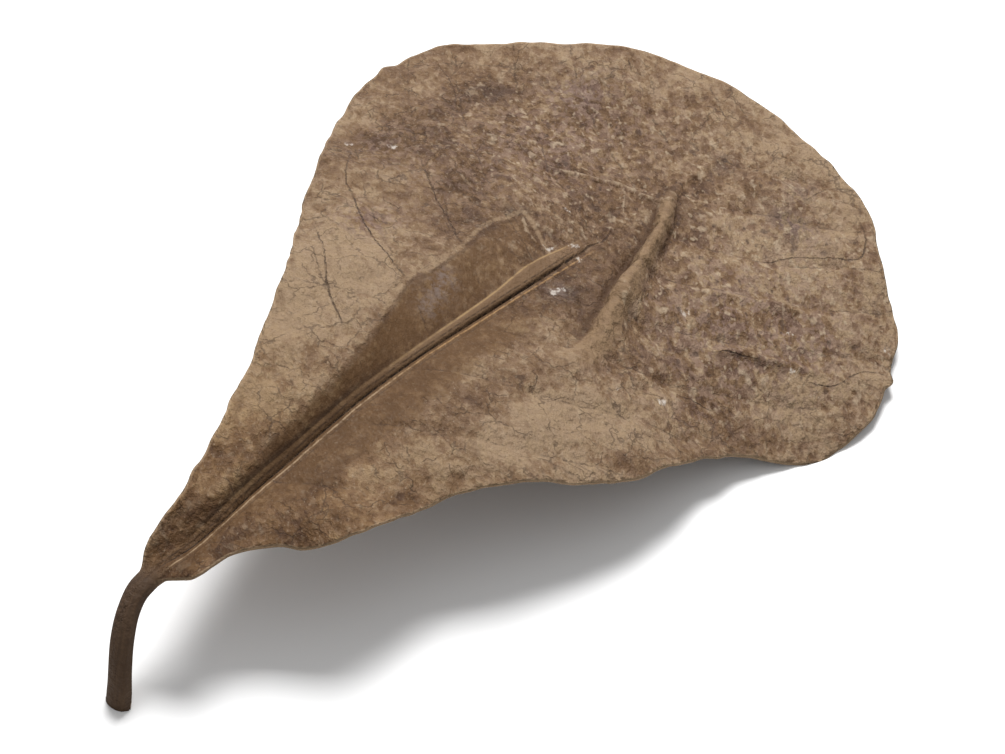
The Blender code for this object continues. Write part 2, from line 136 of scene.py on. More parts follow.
# Creases as (path of (along, across, height), width)
CREASES = [
    ([(97, -10.8, 0), (96.3, -10, 0.3), (94.3, -6.8, 0.3), (93.7, -3.7, 0.2)], 0.35),
    ([(105, -5, 0), (103.8, -3.7, 0.2), (99.6, 0.1, 0.2)], 0.35),
    ([(117, -6.6, 0), (116.5, -6.1, 0.2), (111.3, -0.7, 0.2)], 0.35),
    ([(119, 0, 0), (121.4, -0.1, 0.3), (126, 0, 0.35), (133.7, 0, 0.2), (138, 0, 0)], 0.5),
    ([(114.5, 2.4, 0), (113, 3.2, -0.2), (107, 5, -0.35), (99.6, 7.2, -0.5), (92, 10, -0.4), (85, 12.4, -0.2),
      (78, 12.8, 0)], 0.7),
    ([(96, 9.5, 0), (93.6, 11.6, 0.35), (91.2, 13.6, 0.2), (90, 15, 0)], 0.4),
    ([(94, -28, 0), (88, -26.6, -0.4), (80, -24.8, -0.4), (74, -23.6, 0)], 2.2),
    ([(96, 24, 0), (98.7, 26.6, 0.6), (101.6, 29.2, 0.8), (103.4, 31.9, 0.8), (107.3, 36.8, 0.7),
      (110, 42, 0)], 0.9),
    ([(105, 15, 0), (108.3, 19.6, 0.6), (112.2, 24.2, 0.7), (115.2, 28.1, 0.7), (118.5, 34, 0)], 1.2),
    ([(90, 14, 0), (92.7, 17.5, -0.4), (93.7, 23.4, -0.5), (99.4, 26.1, -0.3), (102, 28, 0)], 1.1),
    ([(74, 23, 0), (80, 24.6, -0.4), (86, 25.6, -0.4), (92, 25.6, 0)], 1.2),
    ([(116, -24.9, 0), (113.8, -24.1, 0.2), (111.6, -16.8, 0.2)], 0.35),
    ([(84.5, 18.5, 0), (86, 16.5, -0.5), (87.5, 14.6, -0.5), (88.5, 13, 0)], 0.5),
    ([(60, -9, 0), (64, -17, 0.35), (70, -25, 0.35), (78, -33, 0)], 1.6),
    ([(86, -15, 0), (96, -21, 0.35), (104, -30, 0.4), (110, -40, 0)], 1.8),
]


def through(stations, at):
    """Smooth curve through (place, value) stations, read at each place in the array at."""
    place, value = np.array(stations, float).T
    slope = np.gradient(value, place)
    at = np.clip(at, place[0], place[-1])
    k = np.clip(np.searchsorted(place, at) - 1, 0, len(place) - 2)
    span = place[k + 1] - place[k]
    t = (at - place[k]) / span
    rise = (3 - 2 * t) * t ** 2
    return (value[k] + rise * (value[k + 1] - value[k])
            + span * t * (1 - t) * ((1 - t) * slope[k] - t * slope[k + 1]))


def ramp(value, start, length):
    """The way from start over that length, as a number from 0 to 1."""
    return np.clip((value - start) / length, 0, 1)


def hump(distance, half_width):
    """1 in the middle, smoothly down to 0 on both sides."""
    return np.exp(-(distance / half_width) ** 2)


def ripple(along, across, height, size, seed):
    """Smooth noise up to about that height both ways, in lumps of about that size."""
    return height * np.array([noise.noise((a / size, c / size, seed)) for a, c in zip(along, across)])


def unit(vectors):
    """The vectors, each with a length of 1."""
    return vectors / np.linalg.norm(vectors, axis=-1, keepdims=True)


def spine(along, step=0.5):
    """Points of the midline, with the leaf's sideways and upward directions there."""
    lines = (SPINE_X, SPINE_Y, SPINE_Z)
    point = np.stack([through(line, along) for line in lines], -1)
    onward = unit(np.stack([through(line, along + step) - through(line, along - step) for line in lines], -1))
    sideways = unit(np.array([1.0, 0.0, 0.0]) - onward[..., :1] * onward)
    return point, sideways, np.cross(sideways, onward)


def from_line(along, across, line):
    """Distance to a line of (along, across, height) points, + on its right, and the height there."""
    distance = np.full(np.shape(along), 1e9)
    height = np.zeros(np.shape(along))
    for (a0, c0, h0), (a1, c1, h1) in zip(line, line[1:]):
        da, dc = a1 - a0, c1 - c0
        t = np.clip(((along - a0) * da + (across - c0) * dc) / (da * da + dc * dc), 0, 1)
        off_a, off_c = along - a0 - t * da, across - c0 - t * dc
        gap = np.hypot(off_a, off_c)
        nearer = gap < np.abs(distance)
        distance = np.where(nearer, np.where(da * off_c < dc * off_a, -gap, gap), distance)
        height = np.where(nearer, h0 + t * (h1 - h0), height)
    return distance, height


def half_lift(along, out, wall, rise, reach, edge, sharpness):
    """Height of one half above the midline: the fold's wall, its rounded crest, then the droop."""
    t = out / through(wall, along)
    past_crest = np.logaddexp(0, (t - 1) * sharpness) - np.logaddexp(0, -sharpness)
    fold = t - past_crest / sharpness
    top = through(rise, along)
    droop = through(edge, along) - through(SPINE_Z, along) - top
    return top * fold + droop * np.minimum(out / through(reach, along), DROOP_END) ** EDGE_POWER


def pinch_flank(along, gap):
    """How far each flank of the pinched ridge reaches."""
    return np.where(gap > 0, through(PINCH_GENTLE, along), through(PINCH_STEEP, along))


def bumps(along, across, spots, reach):
    """Sum of round bumps of one reach at the given places."""
    return sum(hump(np.hypot(along - a, across - c), reach) for a, c in spots)


def lift(along, across):
    """Height of the leaf's middle surface above the midline."""
    out = np.abs(across)
    far = half_lift(along, out, FAR_WALL, FAR_RISE, FAR_REACH, FAR_EDGE, FAR_CREST_SHARPNESS)
    near = half_lift(along, out, NEAR_WALL, NEAR_RISE, NEAR_REACH, NEAR_EDGE, NEAR_CREST_SHARPNESS)
    height = np.where(across < 0, far, near)
    gap, tall = from_line(along, across, PINCH_CURVE)
    height = height + tall * hump(gap, pinch_flank(along, gap))
    gap, tall = from_line(along, across, CREASE_CURVE)
    height = height + tall * hump(gap, CREASE_WIDTH)
    height = height - SAG * bumps(along, across, RESTS, SAG_SPREAD)
    return height * ramp(along, 0, BASE_FADE)


def run_of(points, step):
    """The way run along a path at each of its points, and evenly spaced places on that way."""
    run = np.concatenate([[0], np.cumsum(np.linalg.norm(np.diff(points[:, :2], axis=0), axis=1))])
    return run, np.linspace(0, run[-1], int(run[-1] / step) + 1)


def smooth_path(points, step):
    """Evenly spaced points on the smooth curve through the given ones, with their other values."""
    points = np.array(points, float)
    run, at = run_of(points, step)
    return np.stack([through(np.stack([run, column], 1), at) for column in points.T], 1)


def rightward(path):
    """The way to the right of a path at each of its (along, across) points."""
    return unit(np.gradient(path, axis=0)[:, ::-1] * (-1, 1))


PINCH_CURVE = smooth_path(PINCH, 1.0)
CREASE_CURVE = smooth_path(CREASE, 1.0)


def middle(along, across):
    """Points of the leaf's middle surface."""
    point, sideways, upward = spine(along)
    return point + across[..., None] * sideways + lift(along, across)[..., None] * upward


def normals(along, across, step=0.2):
    """Upward normals of the middle surface."""
    onward = middle(along + step, across) - middle(along - step, across)
    sideways = middle(along, across + step) - middle(along, across - step)
    return unit(np.cross(sideways, onward))


def rib_arch(along, across):
    """The round outline of the midrib's cross-section, as a share of its height."""
    return np.sqrt(np.clip(1 - (across / through(MIDRIB_HALF_WIDTH, along)) ** 2, 0, 1))


def crown_above(along, across):
    """How far the round petiole stands out above."""
    return np.maximum(through(PETIOLE_CROWN, along), 0) * rib_arch(along, across)


def near_rest(along, across, reach):
    """1 on the spots that the lobes rest on, smoothly down to 0 at twice that reach around them."""
    gaps = [np.hypot(along - a, across - c) for a, c in RESTS]
    t = np.clip(2 - np.min(gaps, axis=0) / reach, 0, 1)
    return (3 - 2 * t) * t ** 2


def set_down(along, across, upper, lower):
    """Lays the underside of the resting lobes and the petiole's cut end on the surface."""
    lower[:, 2] *= 1 - near_rest(along, across, REST_REACH)
    sunk = lower[:, 2] < 0
    upper[sunk, 2] -= lower[sunk, 2]
    lower[sunk, 2] = 0
    cut = along < PETIOLE_END + 0.01
    upper[cut, 2] = lower[cut, 2] = 0


def margin_points(step):
    """The waved margin as evenly spaced (along, across) points, and the way its edge is moved at each."""
    at = run_of(np.array(MARGIN, float), step)[1]
    line = smooth_path(MARGIN, step)
    inward = rightward(line)
    blade = ramp(line[:, 0], 4, 10)
    phase = 2 * np.pi * at / MARGIN_WAVELENGTH + MARGIN_DRIFT * np.sin(at / MARGIN_DRIFT_LENGTH)
    shift = MARGIN_WAVE * np.sin(phase) * blade
    shift += sum(ripple(at, 0 * at, *kind) for kind in MARGIN_RIPPLES) * blade
    for along, across, height, half_width in TIPS:
        gap = np.hypot(line[:, 0] - along, line[:, 1] - across)
        shift -= height * hump(gap, half_width)
    across = np.arange(1.5, -1.6, -0.5)
    cut_end = np.stack([np.full(len(across), PETIOLE_END), across], 1)
    past_end = np.tile([-1.0, 0.0], (len(across), 1))
    return np.concatenate([line + inward * shift[:, None], cut_end]), np.concatenate([inward, past_end])


def vein_place(along, across):
    """Which side vein a place is beside (whole numbers are on a vein), and its distance to the nearest."""
    out = np.abs(across)
    start = along - VEIN_SLOPE * out - VEIN_BOW * out ** 2 + ripple(along, across, *VEIN_WANDER)
    bend = np.sqrt(1 + (VEIN_SLOPE + 2 * VEIN_BOW * out) ** 2)
    order, gap = np.zeros((2, len(along)))
    for half, veins in ((across <= 0, FAR_VEINS), (across > 0, NEAR_VEINS)):
        every = np.array([veins[0] - 30, veins[0] - 15, *veins, veins[-1] + 13, veins[-1] + 26], float)
        order[half] = np.interp(start[half], every, np.arange(len(every)))
        gap[half] = start[half] - every[np.round(order[half]).astype(int)]
    return order, gap / bend


def quilting(across, order):
    """The swelling between two side veins, away from the midrib."""
    return np.abs(np.sin(np.pi * order)) * ramp(np.abs(across), QUILT_START, QUILT_FADE)


def upper_relief(along, across, order, gap, inward):
    """Fine height of the upper face over the middle surface."""
    well_in = ramp(inward, 0, EDGE_FADE)
    quilt = QUILT_HEIGHT * quilting(across, order) * well_in
    channel = -CHANNEL_DEPTH * hump(gap, CHANNEL_HALF_WIDTH) * ramp(np.abs(across), 1, 2) * well_in
    notch = np.clip(1 - np.abs(across - GROOVE_AT) / GROOVE_HALF_WIDTH, 0, 1)
    groove = -through(GROOVE_DEPTH, along) * np.minimum(notch * 1.5, 1)
    lip = LIP_HEIGHT * hump(across - GROOVE_AT - LIP_OUT, LIP_HALF_WIDTH) * ramp(along, 100, -10)
    strip_edge = ramp(across, -through(STRIP_WIDTH, along), 0.35)
    strip = through(STRIP_RISE, along) * strip_edge * (across < GROOVE_AT)
    return (quilt + channel + groove + lip + strip) * ramp(along, 3, 8)


def off_crease(along, across, path):
    """Distance to a crease, which wanders a little, and its height there."""
    wander = ripple(along, across, *CREASE_WANDER)
    return from_line(along + wander, across + wander, smooth_path(path, 1.0))


def shared_relief(along, across, inward):
    """Creases, wrinkles and the curl of the margin, which both faces follow."""
    height = sum(ripple(along, stretch * across, *kind) for stretch, *kind in LUMPS)
    height *= np.clip(np.abs(across) / 8, 0.15, 1)
    for path, width in CREASES:
        gap, tall = off_crease(along, across, path)
        height += tall * hump(gap, width)
    height += np.exp(-inward / CURL_REACH) * ripple(along, across, *CURL)
    height *= 1 - near_rest(along, across, FLAT_REACH)
    rolled = (across < 0) * np.clip(1 - np.abs(along - ROLL_AT) / ROLL_AT, 0, 1)
    return height * ramp(along, 2, 10) + ROLL_HEIGHT * hump(inward, ROLL_REACH) * rolled


def lower_relief(along, across, order, gap, inward):
    """How far the ribs of the underside stand out below the middle surface."""
    midrib = through(MIDRIB_DEPTH, along) * rib_arch(along, across)
    blade = ramp(along, 8, 6)
    vein = VEIN_HEIGHT * np.clip(inward / 14, 0.25, 1) * blade * hump(gap, VEIN_HALF_WIDTH)
    quilt = -UNDER_QUILT_DEPTH * quilting(across, order) * blade * ramp(inward, 0, EDGE_FADE)
    ladder = np.abs(across) / RUNG_SPACING + ripple(along, across, *RUNG_WANDER)
    rung = np.abs((ladder + 0.5 * np.floor(order)) % 1 - 0.5) * RUNG_SPACING
    rungs = RUNG_HEIGHT * hump(rung, RUNG_HALF_WIDTH) * blade * ramp(inward, 0, 5)
    rungs *= np.abs(across) > QUILT_START
    return np.maximum(midrib, np.maximum(vein, rungs) + quilt)


# Spacing of the points of the fine mesh
MARGIN_STEP = 0.6
LATTICE = 0.56
LATTICE_ROWS = LATTICE * 0.866
CLEARANCE = 0.33
ROW_GAP = 0.22
ROW_STEP = 0.36


def inside(points, outline):
    """Whether each point lies inside the closed outline."""
    within = np.zeros(len(points), bool)
    for (a0, c0), (a1, c1) in zip(outline, np.roll(outline, -1, axis=0)):
        between = (a0 > points[:, 0]) != (a1 > points[:, 0])
        with np.errstate(divide="ignore", invalid="ignore"):
            crossing = c0 + (points[:, 0] - a0) / (a1 - a0) * (c1 - c0)
        within ^= between & (points[:, 1] < crossing)
    return within


def far_from(points, others, least):
    """The points that keep at least that distance from the others."""
    tree = KDTree(len(others))
    for k, place in enumerate(others):
        tree.insert((*place, 0), k)
    tree.balance()
    return points[[tree.find((*place, 0))[2] > least for place in points]]


def side_rows(path, offsets, step):
    """Rows of points beside a path, every other one set on by half a step."""
    fine = smooth_path(path, step / 2)[:, :2]
    return [(fine + off * rightward(fine))[k % 2::2] for k, off in enumerate(offsets)]


def form_rows():
    """Rows of points that hold the sharp forms: the groove, the fold's crests, the ridge and the creases."""
    rows = side_rows(PINCH, np.arange(-15, 11) * 0.25, 0.3)
    along = np.arange(PETIOLE_END + 0.3, 106, ROW_STEP)
    offsets = [*np.arange(-9, -2) * 0.28, *np.arange(-3, 4) * 0.17, *np.arange(3, 9) * 0.28]
    for k, across in enumerate(offsets):
        rows.append(np.stack([along + ROW_STEP / 2 * (k % 2), np.full(len(along), across + GROOVE_AT)], 1))
    rows += side_rows(CREASE, np.arange(-4, 5) * 0.36, 0.42)
    for path, width in CREASES:
        rows += side_rows(path, np.arange(-3, 4) * 0.38 * min(width, 1), 0.44)
    for wall, side, last in ((FAR_WALL, -1, 102), (NEAR_WALL, 1, 90)):
        fold = along[(along > 4) & (along < last)]
        for k, off in enumerate((-0.8, -0.4, 0, 0.4, 0.8)):
            rows.append(np.stack([fold + 0.25 * (k % 2), side * (through(wall, fold) + off)], 1))
    return rows


def plan_points(outline):
    """Every point inside the margin, each clear of those placed before it."""
    placed = outline
    kept = []
    for row in form_rows():
        row = far_from(row[inside(row, outline)], placed, ROW_GAP)
        kept.append(row)
        placed = np.concatenate([placed, row])
    along, across = np.meshgrid(np.arange(PETIOLE_END, BLADE_LENGTH + 3, LATTICE_ROWS),
                                np.arange(-56, 56, LATTICE))
    across = across + (np.round(along / LATTICE_ROWS) % 2) * LATTICE / 2
    lattice = np.stack([along.ravel(), across.ravel()], 1)
    lattice = lattice[inside(lattice, outline)]
    kept.append(far_from(lattice, placed, CLEARANCE))
    return np.concatenate(kept)


def margin_distance(points, outline):
    """Distance of each point to the margin."""
    closed = [(*place, 0) for place in (*outline, outline[0])]
    return np.abs(from_line(*points.T, closed)[0])


def sheet_points(plan, inward):
    """Upper and lower points of the leaf above and below each place of the plan."""
    along, across = plan.T
    centre, normal = middle(along, across), normals(along, across)
    order, gap = vein_place(along, across)
    centre = centre + normal * shared_relief(along, across, inward)[:, None]
    half = THICKNESS / 2 * (1 - EDGE_THINNING * np.exp(-inward / EDGE_THIN_REACH))
    above = half + crown_above(along, across) + upper_relief(along, across, order, gap, inward)
    below = half + lower_relief(along, across, order, gap, inward)
    upper = centre + normal * above[:, None]
    lower = centre - normal * below[:, None]
    set_down(along, across, upper, lower)
    return upper, lower


def edge_points(plan, way, upper, lower):
    """Points midway down the edge, set back a little from the margin."""
    edge = (upper + lower) / 2 + (middle(*(plan + EDGE_SET_BACK * way).T) - middle(*plan.T))
    edge[:, 2] = np.maximum(edge[:, 2], EDGE_LEAST_HEIGHT)
    return edge


def closed_polygons(faces, count, rim):
    """Triangles of the upper face, of the lower face and of the edge between them, all facing outward."""
    ring = np.arange(rim)
    onward = (ring + 1) % rim
    triangles = [faces[:, ::-1], faces + count]
    for first, second in ((0, 2 * count), (2 * count, count)):
        triangles += [np.stack([first + ring, first + onward, second + onward], 1),
                      np.stack([first + ring, second + onward, second + ring], 1)]
    return np.concatenate(triangles)


def store(mesh, name, *columns):
    """Keeps up to three numbers for each point of the mesh under a name that a material can read."""
    values = np.zeros((len(mesh.vertices), 3), np.float32)
    values[:, :len(columns)] = np.transpose(columns)
    mesh.attributes.new(name, "FLOAT_VECTOR", "POINT").data.foreach_set("vector", values.ravel())


def store_places(mesh, along, across, inward, height):
    """Stores where each point of the mesh lies and how near it is to what the materials draw."""
    store(mesh, "leaf_place", along, across, inward)
    store(mesh, "vein_place", height, np.abs(across), vein_place(along, across)[1])
    store(mesh, "tone", *tones(along, across, inward))
    for name, columns in (("crack", cracks), ("fleck_and_shine", fleck_and_shine_amounts), ("fold", folds), ("ridge", ridges)):
        store(mesh, name, *columns(along, across))


def placed(data):
    """A new object of the scene for a mesh, a light or a camera, with its name."""
    thing = bpy.data.objects.new(data.name, data)
    bpy.context.scene.collection.objects.link(thing)
    return thing


def leaf_object():
    """The leaf as one closed mesh, with the places on it stored for its materials."""
    outline, way = margin_points(MARGIN_STEP)
    rim = len(outline)
    every = np.concatenate([outline, plan_points(outline)])
    found = delaunay_2d_cdt([Vector(p) for p in every], [(k, (k + 1) % rim) for k in range(rim)], [], 1, 1e-7)
    plan = np.array([v[:] for v in found[0]])
    faces = np.array([face[:] for face in found[2]])
    inward = margin_distance(plan, outline)
    upper, lower = sheet_points(plan, inward)
    points = np.concatenate([upper, lower, edge_points(plan[:rim], way, upper[:rim], lower[:rim])])
    points = (points - np.array([*ORIGIN, 0.0])) * MM
    polygons = closed_polygons(faces, len(plan), rim)
    mesh = bpy.data.meshes.new("leaf_fine")
    mesh.from_pydata(points.tolist(), [], polygons.tolist())
    underside = np.zeros(len(polygons), np.int32)
    underside[len(faces):2 * len(faces)] = 1
    mesh.polygons.foreach_set("material_index", underside)
    place = np.concatenate([plan, plan, plan[:rim]])
    store_places(mesh, *place.T, np.concatenate([inward, inward, np.zeros(rim)]), points[:, 2] / MM)
    mesh.shade_smooth()
    return placed(mesh)


# Patches of tone as (along, across, reach along, reach across, light, purple, stain), last zeros left out.
# The light column is partly the leaf's own tone and partly painted light and shade, such as lighter plateaus
# and darker walls beside the midrib
PATCHES = [
    (34, 12, 9, 4, 0.6), (50, 20, 12, 7, 0.65), (66, 25, 14, 9, 0.9), (82, 32, 12, 7, 0.25),
    (30, -10, 12, 5, 0.35), (50, -15, 18, 9, 1.1), (76, -27, 16, 9, 0.75), (104, -46, 14, 5, 0.25),
    (140, -31, 8, 14, 0.55), (145, 4, 8, 18, 0.6), (131, 33, 10, 9, -0.1), (62, -20, 12, 8, 0.75),
    (111, -39, 9, 5, -0.7, 0.1), (94, -24, 10, 8, -0.4, 0.2), (116, -20, 14, 12, -0.25, 0.6),
    (106, 1, 10, 7, -0.3), (96, 4, 10, 4, -0.3), (88, 6, 10, 6, -0.3, 0.1), (124, 26, 14, 14, 0.55, 0.2),
    (134, 22, 9, 14, 0.4), (106, 40, 9, 9, 0.85, 0.1), (45, 4.5, 30, 4, -0.4),
    (104, 24, 14, 12, -0.05, 0.7), (112, 36, 8, 5, -0.1, 0.4), (88, 30, 14, 10, 0.25, 0.1),
    (70, 20, 14, 8, 0.3), (77, 15, 4, 3, 0.7), (120, 12, 12, 10, 0.25, 0.1), (134, -14, 10, 12, 0.2, 0.2),
    (122, 40, 8, 8, 0.3), (128, 22, 8, 8, 0.6), (110, -14, 8, 8, 0.2), (122.7, -35.8, 3, 3, -0.7, 0, 0.5),
    (131.6, -25.8, 5, 5, -0.5, 0.9, 0.35), (130.6, 17, 2.5, 4, -0.3, 1, 0.7),
    (97, -11.6, 1.8, 1.8, 0, 0, 1), (76.6, -24, 5, 4, -0.3, 0.9), (88.3, 5.5, 2.5, 1.6, -0.5, 0, 0.8),
    (97, -37, 7, 5, -0.4, 0.4), (24, 10, 9, 5, -0.35), (14, -8, 10, 7, -0.25), (6, 0, 9, 14, -0.5),
    (33, 17, 8, 2, -0.4), (56, 12, 10, 2.4, -0.4), (78, 18, 6, 3, -0.4, 0.1), (138, 13, 3, 3, 0, 0.6, 0.2),
    (134, 1, 2, 2, -0.5, 0.3, 0.6), (86, 33, 5, 4, -0.4, 0.2), (118, 3, 3, 3, -0.4, 0, 0.5),
    (90, 28, 6, 5, -0.5), (126.5, -30.5, 4, 4, 0.35), (97, 43, 5, 4, 0.25), (45, 13.4, 5, 3, 0.3),
    (66, 8.5, 7, 2.5, 0.4), (125, -44, 8, 4, 0.45), (78, 6.5, 5, 2, 0.3), (136.3, 14.6, 4, 4, 0.2),
]
# Places with small glints, painted highlights, as (along, across)
GLINT_HIGHLIGHT_SPOTS = [(93.7, -41.1), (97.4, -36.1), (94.7, -3.1), (97, 1.1), (87.1, 3.4), (104, -7), (111.2, 31.6),
          (98.5, -1.5), (106.1, 36.1), (83, 28.2), (78.3, 23.4), (100.7, 18.9), (121.5, 43), (88.5, 4.2)]
# Spots of flecks and of painted grey sheen as (places, reach, amount)
FLECK_SPOTS = [([(112, 20)], 28, 1), ([(120, -18)], 22, 0.7), ([(99, 3.5), (92, 7)], 6, -0.8)]
PAINTED_SHEEN_SPOTS = [([(71, -6.5), (74, -7.5), (67, -5)], 2.2, 1), ([(88, 4)], 2, 1)]
PALE_MARGIN = 0.25
THIN_CREASE = 0.5
RECESS_END = 92.0


def tones(along, across, inward):
    """How light each place is, partly its own tone and partly painted light and shade, and how purple and how
    stained it is.
    """
    found = np.zeros((len(along), 3))
    for at, side, reach_along, reach_across, *amounts in PATCHES:
        near = hump(along - at, reach_along) * hump(across - side, reach_across)
        found[:, :len(amounts)] += near[:, None] * amounts
    found[:, 0] += PALE_MARGIN * np.exp(-inward / 4) * (along > 20)
    return found.T


def fleck_and_shine_amounts(along, across):
    """How thick the flecks lie, how near a painted glint highlight is, and the painted grey sheen of the
    recess beside the midrib.
    """
    flecks, sheen = (sum(amount * bumps(along, across, spots, reach) for spots, reach, amount in rows)
                     for rows in (FLECK_SPOTS, PAINTED_SHEEN_SPOTS))
    return np.clip(flecks, 0, 1), bumps(along, across, GLINT_HIGHLIGHT_SPOTS, 1.1), sheen


def ridges(along, across):
    """The way down the pinched ridge's flanks, its height there, and how near a raised thin crease is."""
    gap, tall = from_line(along, across, PINCH_CURVE)
    raised = np.zeros(len(along))
    for path, width in [(CREASE, CREASE_WIDTH), *CREASES]:
        if width < THIN_CREASE:
            off, height = off_crease(along, across, path)
            raised = np.maximum(raised, ramp(height, 0, 0.3) * ramp(np.abs(off), 0.4, -0.2))
    return np.clip(gap / pinch_flank(along, gap), -9, 9), tall, raised


def folds(along, across):
    """Distances inside the far crest, inside the near crest, and from the strip's edge beside the midrib."""
    out = np.abs(across)
    far = np.minimum(through(FAR_WALL, along) - out, RECESS_END - along + 0.48 * out)
    near = through(NEAR_WALL, along) - out
    strip = across + through(STRIP_WIDTH, along)
    return np.where(across < 0, far, -9), np.where(across > 0, near, -9), strip


# Dark fine veins as paths of (along, across, strength)
CRACKS = [
    [(92.3, -39.7, 0.4), (82.4, -32.9, 0.7), (80.8, -30.7, 0.8), (76.6, -25.6, 1), (72.2, -18.9, 1),
     (68.4, -10.5, 0.8)],
    [(96, -28.9, 0.4), (92.2, -24.3, 0.9), (84.1, -12.8, 0.8)],
    [(124.1, -49, 0.4), (121.6, -43.7, 0.7), (112.6, -34.9, 0.4)],
    [(121.6, -43.7, 0.6), (129.4, -45.9, 0.3)],
    [(69.9, -29.3, 0.6), (64, -22.5, 0.8), (58.7, -17.6, 0.9), (52.6, -9.3, 0.6)],
    [(96.5, 0.2, 0.9), (98.5, 0.3, 0.9), (101, 0, 0.8), (103.5, 0.6, 0.8), (107, -0.1, 0.6), (109, 0.3, 0.3)],
    [(117.6, 14.5, 0.4), (120.2, 18.9, 0.7), (124.9, 21.6, 0.8), (129.2, 26.1, 0.8), (132.7, 28.9, 0.9),
     (135.1, 28, 0.9), (139.1, 24.2, 0.7), (140.1, 22.2, 0.5)],
    [(135.9, 15.2, 0.5), (139.1, 15.4, 0.7), (142.6, 15.9, 0.5)],
    [(136.7, 13.9, 0.6), (137.5, 9.8, 0.4)],
    [(97.5, 26.2, 0.8), (99.5, 27.6, 1), (101.4, 30, 1), (102.8, 32.2, 0.6)],
    [(105.3, 37.9, 0.5), (109.1, 42.1, 1), (114.7, 43.3, 0.7), (116.9, 45.3, 0.8), (117.6, 47.1, 0.8)],
    [(86.2, 28.4, 0.6), (88.1, 30.5, 0.9), (89, 32.4, 0.9), (89.9, 34.3, 0.7)],
]
CRACK_REACH = 1.3


def cracks(along, across):
    """Signed distance to the nearest dark vein, and its strength there, which is 0 away from it."""
    distance = np.full(len(along), 9.0)
    strength = np.zeros(len(along))
    for path in CRACKS:
        line = smooth_path(path, 0.8)
        way = np.linspace(0, 1, len(line))
        line[:, 2] = np.interp(way, np.linspace(0, 1, len(path)), [place[2] for place in path])
        line[:, 2] *= np.clip(np.minimum(way, 1 - way) * len(line) / 3, 0, 1)
        gap, height = from_line(along, across, line)
        nearer = np.abs(gap) < np.abs(distance)
        distance = np.where(nearer, gap, distance)
        strength = np.where(nearer, height * np.clip(2 - 2 * np.abs(gap) / CRACK_REACH, 0, 1), strength)
    return distance, strength


def linear(red, green, blue):
    """A colour as it looks in the studio's bright light, from 0 to 255, as the shader's linear colour."""
    seen = np.array([red, green, blue]) / 288
    return (*np.where(seen <= 0.04045, seen / 12.92, ((seen + 0.055) / 1.055) ** 2.4), 1.0)


